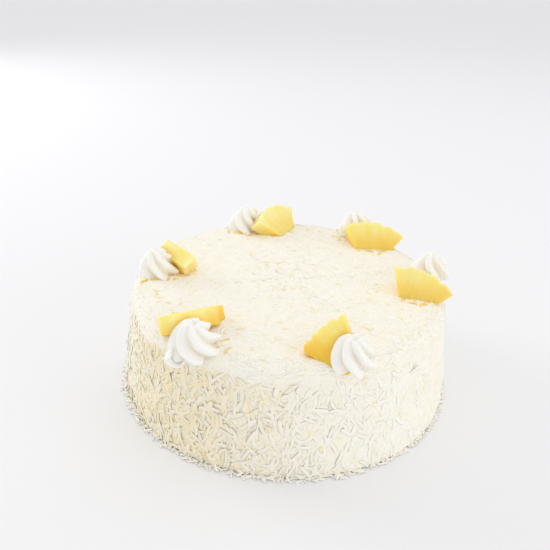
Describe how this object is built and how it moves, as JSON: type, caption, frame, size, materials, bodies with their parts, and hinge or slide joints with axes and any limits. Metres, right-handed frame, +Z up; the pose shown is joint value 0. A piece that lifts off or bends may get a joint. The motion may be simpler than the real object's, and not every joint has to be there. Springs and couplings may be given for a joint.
{
  "type": "pina colada cake",
  "caption": "Uncut round layer cake coated all over in coconut shreds, with piped whipped cream rosettes near the rim and a wedge of pineapple leaning on each.",
  "frame": {"origin": "middle of the outline at the flat underside that the cake rests on", "axes": "+Z up through the cake's height, -Y towards the side that faces the viewer, +X to that side's right"},
  "size_m": [0.2356, 0.235, 0.0954],
  "materials": {
    "coconut_coat": "matte shredded coconut over cream",
    "whipped_cream": "soft satin whipped cream",
    "pineapple": "moist pineapple flesh"
  },
  "bodies": {
    "root": {"cake_body": "coconut_coat", "rosette_1": "whipped_cream", "pineapple_1": "pineapple", "rosette_2": "whipped_cream", "pineapple_2": "pineapple", "rosette_3": "whipped_cream", "pineapple_3": "pineapple", "rosette_4": "whipped_cream", "pineapple_4": "pineapple", "rosette_5": "whipped_cream", "pineapple_5": "pineapple", "rosette_6": "whipped_cream", "pineapple_6": "pineapple"}
  },
  "joints": []
}
